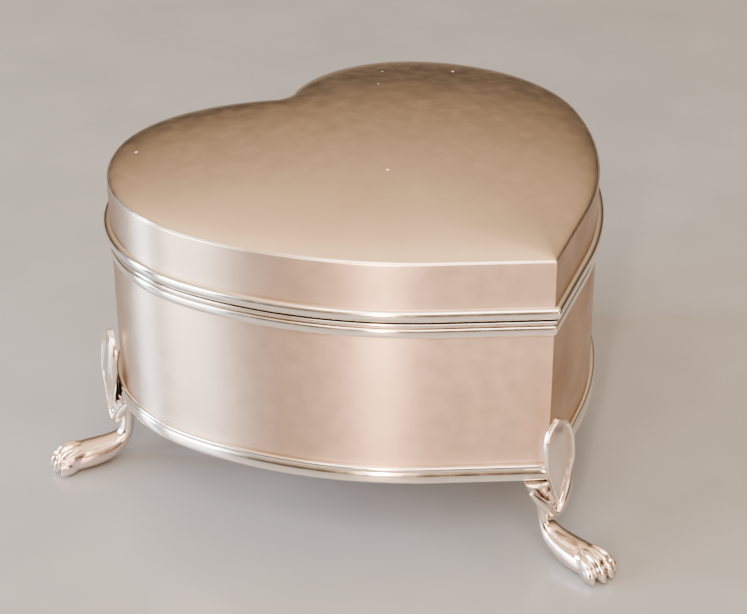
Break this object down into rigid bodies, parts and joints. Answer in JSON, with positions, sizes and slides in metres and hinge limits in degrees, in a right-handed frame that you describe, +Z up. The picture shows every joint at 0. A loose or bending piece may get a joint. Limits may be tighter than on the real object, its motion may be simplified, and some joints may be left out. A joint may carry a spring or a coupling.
{
  "type": "heart-shaped trinket box",
  "caption": "Heart-shaped metal trinket box with a hinged domed lid, reeded rim, velvet lining and splayed paw feet with lancet plaques.",
  "frame": {"origin": "middle of the footprint, on the surface that the feet stand on", "axes": "+Z up, +Y towards the cleft and the hinge, -Y towards the heart's point, X across the lobes, which are mirror images about X = 0"},
  "size_m": [0.1086, 0.101, 0.0574],
  "materials": {
    "silver": "polished silver with fine hand-polishing scratches and slight warm tarnish",
    "hinge_steel": "drawn wire",
    "velvet": "deep blue short-pile velvet",
    "card": "plain grey-brown pressed card"
  },
  "bodies": {
    "box": {"body_wall": "silver", "base_plate": "silver", "base_moulding": "silver", "rim_reed_lower": "silver", "rim_reed_upper": "silver", "rim_collar": "silver", "body_hinge_plate": "silver", "body_knuckle_left": "silver", "body_knuckle_centre": "silver", "body_knuckle_right": "silver", "hinge_pin": "hinge_steel", "front_foot": "silver", "left_foot": "silver", "right_foot": "silver", "front_plaque": "silver", "left_plaque": "silver", "right_plaque": "silver", "pad_board": "card", "base_pad": "velvet", "wall_lining": "velvet"},
    "lid": {"lid_top": "silver", "lid_wall": "silver", "lid_bead": "silver", "lid_hinge_plate": "silver", "lid_knuckle_left": "silver", "lid_knuckle_right": "silver"}
  },
  "joints": [
    {"name": "lid_hinge", "type": "hinge", "parent": "box", "child": "lid", "pos_m": [0, 0.04863, 0.04325], "axis": [-1, 0, 0], "range_deg": [0, 100]}
  ]
}
